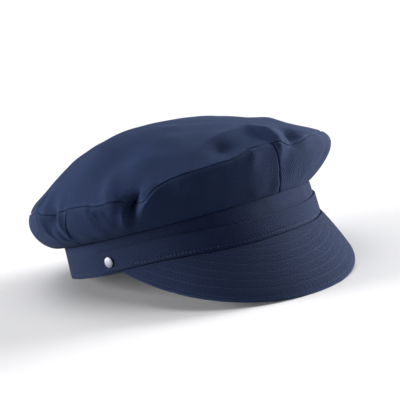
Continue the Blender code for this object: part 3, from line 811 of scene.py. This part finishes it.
ring = np.concatenate([
    first[2] + (second[2] - first[2]) * np.arange(TOP_COLUMNS // 4) / (TOP_COLUMNS // 4)
    for first, second in zip(SEAMS, SEAMS[1:])
])
inward = np.linspace(0.0, 1.0, TOP_ROWS) ** 1.25
angles = np.repeat(ring[None, :], TOP_ROWS, 0)
shares = np.minimum(seam_share(angles) + (2.0 - seam_share(angles)) * inward[:, None], 1.9999)
plain = crown(angles, shares)
from_rim = lengths_along(plain, 0)
rim_run = lengths_along(np.concatenate([plain[0], plain[:1, 0]]), 0)[:-1]
outer, inner = crown_faces(angles, shares, (
    (from_rim, SEAM_ROLL * 1.1, np.broadcast_to(rim_run, angles.shape)),
))
outer[-1] = outer[-1].mean(0)
inner[-1] = inner[-1].mean(0)
from_middle = from_rim[-1:] - from_rim
turn = np.radians(angles)
weave = np.stack([-from_middle * np.sin(turn), -from_middle * np.cos(turn)], -1)
weave = np.concatenate([weave, weave[:, :1]], 1)
wear = SEAM_RUB * np.exp(-((from_rim - SEAM_RUB_MIDDLE) / SEAM_RUB_WIDTH) ** 2)
top = add_piece(
    "crown_top_cloth",
    wall_mesh(
        "crown_top_cloth",
        np.concatenate([outer, inner[::-1]]),
        np.concatenate([weave, weave[::-1]]),
        np.concatenate([wear, wear[::-1]]),
        wrap=True,
        open_after=TOP_ROWS - 1,
    ),
    crown_twill,
    "crown_top",
)

# Peak
# A curved board covered in the same drill on both sides, quilted to it by rows of stitching that follow its
# outer edge. Its root is sewn in under the strap.

PEAK_FORWARD = 0.0250
PEAK_DROP = 0.0432
PEAK_CORNER = 0.0008
PEAK_ROUNDING = 1.15
PEAK_THICK = 0.0020
PEAK_ANGLE = 71.5
PEAK_ARCH = 0.0010
PEAK_COLUMNS = 260
PEAK_ROWS = 96
QUILTING = (0.0032, 0.0092, 0.0152, 0.0212, 0.0272, 0.0332, 0.0392)
QUILT_DENT = 0.00012
QUILT_HALF_WIDTH = 0.00075
QUILT_SWELL = 0.00005
QUILT_STITCH_LENGTH = 0.0020
QUILT_STITCH_WIDTH = 0.00034
QUILT_STITCH_PITCH = 0.0027
QUILT_STITCH_SINK = 0.15
QUILT_CLEAR = 0.0022
QUILT_START = 0.002
PEAK_PROBE_ANGLE = 0.3
PEAK_PROBE_SHARE = 0.01
PEAK_EDGE_ROWS = 12
PEAK_EDGE_RUB = 0.45


def peak_point(angle, share):
    """A point on the peak's upper face: share 0 under the strap's edge, 1 at the outer edge."""
    angle, share = np.broadcast_arrays(np.asarray(angle, float), np.asarray(share, float))
    front = np.cos(np.clip(angle / PEAK_ANGLE, -1.0, 1.0) * math.pi / 2)
    root_out = GAP + PEAK_THICK
    root_up = strap_foot(angle) - GAP
    along_out = (PEAK_FORWARD - root_out) * front**PEAK_ROUNDING
    along_up = -PEAK_CORNER - (PEAK_DROP - PEAK_CORNER) * front - root_up
    reach = np.hypot(along_out, along_up)
    arch = PEAK_ARCH * front * 4 * share * (1 - share) / reach
    out = root_out + along_out * share - along_up * arch
    height = root_up + along_up * share + along_out * arch
    return on_band(angle, out, height)


def peak_normal(angle, share):
    """The way out of the peak's upper face."""
    turn = PEAK_PROBE_ANGLE
    step = PEAK_PROBE_SHARE
    inner_angle = np.clip(angle, turn - PEAK_ANGLE, PEAK_ANGLE - turn)
    inner_share = np.clip(share, step, 1.0 - step)
    along = peak_point(inner_angle + turn, inner_share) - peak_point(inner_angle - turn, inner_share)
    down = peak_point(inner_angle, inner_share + step) - peak_point(inner_angle, inner_share - step)
    normal = np.cross(along, down)
    return normal / np.linalg.norm(normal, axis=-1, keepdims=True)


spread = np.linspace(-PEAK_ANGLE, PEAK_ANGLE, PEAK_COLUMNS)
reach = np.linalg.norm(peak_point(spread, 1.0) - peak_point(spread, 0.0), axis=-1)
roll = PEAK_THICK / 2
flat_share = np.maximum(1.0 - roll / reach, 0.2)
down_share = np.linspace(0.0, 1.0, PEAK_ROWS)[:, None] * flat_share[None, :]
angles = np.broadcast_to(spread, down_share.shape)
upper = peak_point(angles, down_share)
normal = peak_normal(angles, down_share)
from_edge = (1.0 - down_share) * reach
quilt = QUILT_SWELL * np.ones_like(from_edge)
for distance in QUILTING:
    quilt = quilt - (QUILT_DENT + QUILT_SWELL) * np.exp(-(((from_edge - distance) / QUILT_HALF_WIDTH) ** 2))
quilt = quilt * np.clip(down_share * reach / QUILT_START, 0.0, 1.0)
under = upper - normal * PEAK_THICK
edge_middle = (upper[-1] + under[-1]) / 2
edge_out = peak_point(spread, 1.0) - peak_point(spread, 0.95)
edge_out /= np.linalg.norm(edge_out, axis=-1, keepdims=True)
edge_normal = normal[-1]
nose = []
for turn in np.radians(np.linspace(90.0, -90.0, PEAK_EDGE_ROWS))[1:-1]:
    nose.append(edge_middle + roll * (edge_normal * math.sin(turn) + edge_out * math.cos(turn)))
grid = np.concatenate([
    upper + normal * quilt[..., None],
    nose,
    (under - normal * quilt[..., None])[::-1],
])
u = lengths_along(upper[PEAK_ROWS // 2], 0)
down = lengths_along(grid, 0)
weave = np.stack([np.broadcast_to(u, down.shape), down], -1)
wear = np.zeros(down.shape)
wear[PEAK_ROWS - 2:PEAK_ROWS + PEAK_EDGE_ROWS] = PEAK_EDGE_RUB
peak_twill = woven_twill("peak_twill", "09142A", "162447", "334768", 0.0010, 0.00080)
add_piece("peak_cloth", wall_mesh("peak_cloth", grid, weave, wear), peak_twill, "peak")

quilt_rows = []
for distance in QUILTING:
    clear = reach > distance + QUILT_CLEAR
    row_angles = spread[clear]
    row_shares = 1.0 - distance / reach[clear]
    way = peak_normal(row_angles, row_shares)
    line = peak_point(row_angles, row_shares)
    quilt_rows.append((line - way * QUILT_DENT, way))
    quilt_rows.append((line - way * (PEAK_THICK - QUILT_DENT), -way))
add_piece(
    "peak_quilting",
    stitch_mesh(
        "peak_quilting",
        quilt_rows,
        QUILT_STITCH_LENGTH,
        QUILT_STITCH_WIDTH,
        QUILT_STITCH_PITCH,
        QUILT_STITCH_SINK,
    ),
    spun_thread("quilting_thread", "111A33", "283759"),
)

# Chin strap
# A flat strap of doubled drill, folded along its upper edge and stitched along its lower one. It lies on the
# band over the peak's seam, from button to button.

STRAP_THICK = 0.0014
STRAP_HEIGHT = 0.0142
STRAP_ANGLE = 84.8
STRAP_COLUMNS = 560
STRAP_CORNER = 0.0026
STRAP_STITCH_PITCH = 0.0026
STRAP_STITCH_RISE = 0.0022
STRAP_STITCH_LENGTH = 0.0019
STRAP_STITCH_WIDTH = 0.00046
STRAP_STITCH_SINK = 0.2
STRAP_DENT = 0.00040
STRAP_DENT_WIDTH = 0.0010
STRAP_FACE_ROWS = 34
STRAP_EDGE_ROWS = 8
STRAP_END_PLAIN = 0.003
STRAP_EDGE_RUB = 0.3


def strap_point(angle, out, rise):
    """A point on the strap: out from its inner face, and up from its lower edge."""
    height = strap_foot(angle) + rise
    return on_band(angle, GAP + out - BAND_LEAN * height / BAND_HEIGHT, height)


spread = np.linspace(-STRAP_ANGLE, STRAP_ANGLE, STRAP_COLUMNS)
run = lengths_along(on_band(spread, 0.0, 0.0), 0)
from_end = np.minimum(run, run[-1] - run)
to_corner = np.maximum(STRAP_CORNER - from_end, 0.0)
cut_in = STRAP_CORNER - np.sqrt(np.maximum(STRAP_CORNER**2 - to_corner**2, 0.0))
edge = STRAP_THICK / 2
low = edge + cut_in * 0.6
high = STRAP_HEIGHT - edge - cut_in
rows = []
profile = []
for share in gathered_ends(STRAP_FACE_ROWS, 0.5):
    profile.append((STRAP_THICK, share, 0.0))
for turn in np.radians(np.linspace(90.0, -90.0, STRAP_EDGE_ROWS))[1:-1]:
    profile.append((edge + edge * math.sin(turn), 1.0, edge * math.cos(turn)))
for share in gathered_ends(STRAP_FACE_ROWS, 0.5)[::-1]:
    profile.append((0.0, share, 0.0))
for turn in np.radians(np.linspace(-90.0, 90.0, STRAP_EDGE_ROWS))[1:-1]:
    profile.append((edge + edge * math.sin(turn), 0.0, -edge * math.cos(turn)))
for out, share, beyond in profile:
    rise = low + (high - low) * share + beyond
    dent = 0.0
    if out == STRAP_THICK:
        gather = 0.65 + 0.55 * np.cos(2 * math.pi * run / STRAP_STITCH_PITCH)
        dent = STRAP_DENT * gather * np.exp(-(((rise - STRAP_STITCH_RISE) / STRAP_DENT_WIDTH) ** 2))
    rows.append(strap_point(spread, out - dent, rise))
grid = np.array(rows)
down = lengths_along(grid[:, STRAP_COLUMNS // 14], 0)
weave = np.stack(np.meshgrid(run, down), -1)
wear = np.broadcast_to(
    np.array([STRAP_EDGE_RUB if share == 0.0 else 0.0 for out, share, beyond in profile])[:, None],
    grid.shape[:2],
)
strap_twill = woven_twill("strap_twill", "09142A", "162447", "334768", 0.0010, 0.00080)
strap = add_piece(
    "strap_cloth",
    wall_mesh("strap_cloth", grid, weave, wear),
    strap_twill,
    "chin_strap",
)
inside = from_end > STRAP_END_PLAIN
place = strap_point(spread[inside], STRAP_THICK - STRAP_DENT, STRAP_STITCH_RISE)
way = strap_point(spread[inside], STRAP_THICK + 0.01, STRAP_STITCH_RISE) - place
way /= np.linalg.norm(way, axis=-1, keepdims=True)
strap_stitches = add_piece(
    "strap_stitches",
    stitch_mesh(
        "strap_stitches",
        [(place, way)],
        STRAP_STITCH_LENGTH,
        STRAP_STITCH_WIDTH,
        STRAP_STITCH_PITCH,
        STRAP_STITCH_SINK,
    ),
    spun_thread("strap_thread", "18213C", "3D4B70"),
)

# Strap buttons
# Two domed nickel caps pressed on the outer end of a rivet, which goes through the strap and the band to a
# flat head inside.

RIVET_RADIUS = 0.0037
RIVET_DOME = 0.0011
RIVET_EDGE = 0.00035
RIVET_SKIRT = 0.0004
SHANK_FOOT = 0.0006
SHANK_RADIUS = 0.0013
RIVET_BACK_RADIUS = 0.0032
RIVET_BACK = 0.0007
RIVET_BACK_BEVEL = 0.0002
RIVET_BACK_ROUND = 0.0003
RIVET_ANGLE = 77.8
RIVET_HEIGHT = 0.0086
RIVET_SIDES = 72


def rivet_outline():
    """The rivet's half section from the middle of its dome to the middle of its flat head."""
    inside = -(STRAP_THICK + BAND_WALL + 2 * GAP) - GAP
    outline = []
    for turn in np.radians(np.linspace(90.0, 8.0, 12)):
        height = GAP + RIVET_SKIRT + (RIVET_DOME - RIVET_SKIRT) * math.sin(turn)
        outline.append((RIVET_RADIUS * math.cos(turn), height))
    for turn in np.radians(np.linspace(0.0, -110.0, 6)):
        radius = RIVET_RADIUS - RIVET_EDGE + RIVET_EDGE * math.cos(turn)
        outline.append((radius, GAP * 0.4 + RIVET_EDGE + RIVET_EDGE * math.sin(turn)))
    outline.append((SHANK_RADIUS + SHANK_FOOT, GAP * 0.4))
    outline.append((SHANK_RADIUS, GAP * 0.2))
    outline.append((SHANK_RADIUS, inside))
    outline.append((RIVET_BACK_RADIUS - RIVET_BACK_BEVEL, inside))
    outline.append((RIVET_BACK_RADIUS, inside - RIVET_BACK_BEVEL))
    outline.append((RIVET_BACK_RADIUS, inside - RIVET_BACK + RIVET_BACK_ROUND))
    outline.append((RIVET_BACK_RADIUS - RIVET_BACK_ROUND, inside - RIVET_BACK))
    outline.append((0.0, inside - RIVET_BACK))
    return outline


def satin_nickel(name, bright, dull):
    """Nickel plate on brass, tumbled to a satin and dulled by wear: wide soft reflections that run from pale
    to grey over the dome, a little uneven where fingers have touched it."""
    made = bpy.data.materials.new(name)
    made.use_nodes = True
    tree = made.node_tree
    tree.nodes.clear()
    place = add_node(tree, "ShaderNodeTexCoord").outputs["Object"]
    haze = add_node(
        tree,
        "ShaderNodeTexNoise",
        {"Vector": place, "Scale": 700.0, "Detail": 4.0, "Roughness": 0.6},
    )
    grain = add_node(tree, "ShaderNodeTexNoise", {"Vector": place, "Scale": 6000.0, "Detail": 2.0})
    colour = add_node(
        tree,
        "ShaderNodeMix",
        {"Factor": haze.outputs["Fac"], 6: linear(dull), 7: linear(bright)},
        data_type="RGBA",
    )
    worn = add_node(
        tree,
        "ShaderNodeMapRange",
        {"Value": haze.outputs["Fac"], "From Min": 0.3, "From Max": 0.7, "To Min": 0.50, "To Max": 0.62},
    )
    bump = add_node(
        tree,
        "ShaderNodeBump",
        {"Height": grain.outputs["Fac"], "Strength": 0.25, "Distance": 0.00002},
    )
    shader = add_node(
        tree,
        "ShaderNodeBsdfPrincipled",
        {"Base Color": colour.outputs[2], "Metallic": 1.0, "Roughness": worn.outputs["Result"],
         "Normal": bump.outputs["Normal"]},
    )
    add_node(tree, "ShaderNodeOutputMaterial", {"Surface": shader.outputs["BSDF"]})
    return made


nickel = satin_nickel("satin_nickel", "80828C", "666872")
for name, side in (("rivet_right", 1), ("rivet_left", -1)):
    angle = side * RIVET_ANGLE
    face = GAP + STRAP_THICK - BAND_LEAN * RIVET_HEIGHT / BAND_HEIGHT
    place = on_band(angle, face, RIVET_HEIGHT)
    way = on_band(angle, face + 0.01, RIVET_HEIGHT) - place
    way /= np.linalg.norm(way)
    aside = np.cross([0.0, 0.0, 1.0], way)
    up = np.cross(way, aside)
    outline = rivet_outline()
    verts = [place + way * outline[0][1]]
    for radius, height in outline[1:-1]:
        for turn in np.arange(RIVET_SIDES) * 2 * math.pi / RIVET_SIDES:
            verts.append(place + way * height + radius * (aside * math.cos(turn) + up * math.sin(turn)))
    verts.append(place + way * outline[-1][1])
    faces = []
    rings = len(outline) - 2
    for side_step in range(RIVET_SIDES):
        after = (side_step + 1) % RIVET_SIDES
        faces.append((0, 1 + side_step, 1 + after))
        for step in range(rings - 1):
            here = 1 + step * RIVET_SIDES
            there = here + RIVET_SIDES
            faces.append((here + side_step, there + side_step, there + after, here + after))
        end = 1 + (rings - 1) * RIVET_SIDES
        faces.append((end + side_step, len(verts) - 1, end + after))
    mesh = bpy.data.meshes.new(name + "_metal")
    mesh.from_pydata(seat(np.array(verts)).tolist(), [], faces)
    close_points(mesh, 40.0)
    add_piece(name + "_metal", mesh, nickel, name)

# Floor
# A plain pale sweep of paper under the cap, which only carries its soft shadow.

FLOOR_RADIUS = 80.0
FLOOR_SIDES = 64
paper = bpy.data.materials.new("matt_paper")
paper.use_nodes = True
paper.node_tree.nodes.clear()
fibres = add_node(paper.node_tree, "ShaderNodeTexNoise", {"Scale": 3.0, "Detail": 3.0})
tone = add_node(
    paper.node_tree,
    "ShaderNodeMix",
    {"Factor": fibres.outputs["Fac"], 6: linear("C0C0C2"), 7: linear("C4C4C6")},
    data_type="RGBA",
)
paper_shader = add_node(
    paper.node_tree,
    "ShaderNodeBsdfPrincipled",
    {"Base Color": tone.outputs[2], "Roughness": 0.95, "Specular IOR Level": 0.1},
)
add_node(paper.node_tree, "ShaderNodeOutputMaterial", {"Surface": paper_shader.outputs["BSDF"]})
floor_mesh = bpy.data.meshes.new("floor")
floor_turns = np.arange(FLOOR_SIDES) * 2 * math.pi / FLOOR_SIDES
floor_mesh.from_pydata(
    [(FLOOR_RADIUS * math.cos(turn), FLOOR_RADIUS * math.sin(turn), 0.0) for turn in floor_turns],
    [],
    [tuple(range(FLOOR_SIDES))],
)
floor_mesh.materials.append(paper)
floor = bpy.data.objects.new("floor", floor_mesh)
bpy.context.scene.collection.objects.link(floor)

# Camera
# A long lens a little above the table, in front of the cap and to its right, turned as in the photo.

LENS = 108.0
SENSOR_WIDTH = 36.0
VIEW_ROUND = -39.0
VIEW_DOWN = 11.1
VIEW_ROLL = -8.2
VIEW_DISTANCE = 0.864
VIEW_RIGHT = 0.0043
VIEW_UP = 0.0321


def placed(axes, place):
    """The matrix of an object with these axes, as columns, at a place."""
    return Matrix.Translation(place) @ Matrix(axes.tolist()).to_4x4()


turn = math.radians(VIEW_ROUND)
down = math.radians(VIEW_DOWN)
lean = math.radians(VIEW_ROLL)
back = np.array([math.sin(turn) * math.cos(down), -math.cos(turn) * math.cos(down), math.sin(down)])
right = np.array([math.cos(turn), math.sin(turn), 0.0])
upright = np.cross(back, right)
right, upright = (
    right * math.cos(lean) + upright * math.sin(lean),
    upright * math.cos(lean) - right * math.sin(lean),
)
pivot = seat(np.array([[0.0, 0.0, 0.0]]))[0]
eye = pivot + back * VIEW_DISTANCE + right * VIEW_RIGHT + upright * VIEW_UP
camera = bpy.data.objects.new("camera", bpy.data.cameras.new("camera"))
camera.data.lens = LENS
camera.data.sensor_width = SENSOR_WIDTH
camera.matrix_world = placed(np.stack([right, upright, back], -1), eye)
bpy.context.scene.collection.objects.link(camera)
bpy.context.scene.camera = camera

# Light
# Wide soft lights from above and behind and low ones at both ends, with little from the camera's own side, in
# a dim pale room. So the crown's top and the cap's ends are bright, and the side towards the camera is dark.

# Each light's bearing and rise and how wide it looks, in degrees, and its power
LIGHTS = (
    ("top_light", 0.0, 80.0, 60.0, 1.6),
    ("back_light", 160.0, 70.0, 50.0, 1.4),
    ("left_light", 132.0, 6.5, 36.0, 8.7),
    ("right_light", -74.0, 8.5, 36.0, 12.5),
)
for name, bearing, rise, softness, power in LIGHTS:
    lamp = bpy.data.lights.new(name, "SUN")
    lamp.angle = math.radians(softness)
    lamp.energy = power
    holder = bpy.data.objects.new(name, lamp)
    turn = math.radians(bearing)
    lift = math.radians(rise)
    aim = np.array([-math.sin(turn) * math.cos(lift), -math.cos(turn) * math.cos(lift), math.sin(lift)])
    side = np.cross([0.0, 0.0, 1.0], aim)
    side /= np.linalg.norm(side)
    holder.matrix_world = placed(np.stack([side, np.cross(aim, side), aim], -1), aim * 2.0)
    bpy.context.scene.collection.objects.link(holder)

bpy.context.scene.view_settings.view_transform = "Standard"
room = bpy.data.worlds.new("room")
bpy.context.scene.world = room
room.use_nodes = True
room.node_tree.nodes.clear()
glow = add_node(room.node_tree, "ShaderNodeBackground", {"Color": linear("F4F6FA"), "Strength": 0.05})
add_node(room.node_tree, "ShaderNodeOutputWorld", {"Surface": glow.outputs["Background"]})
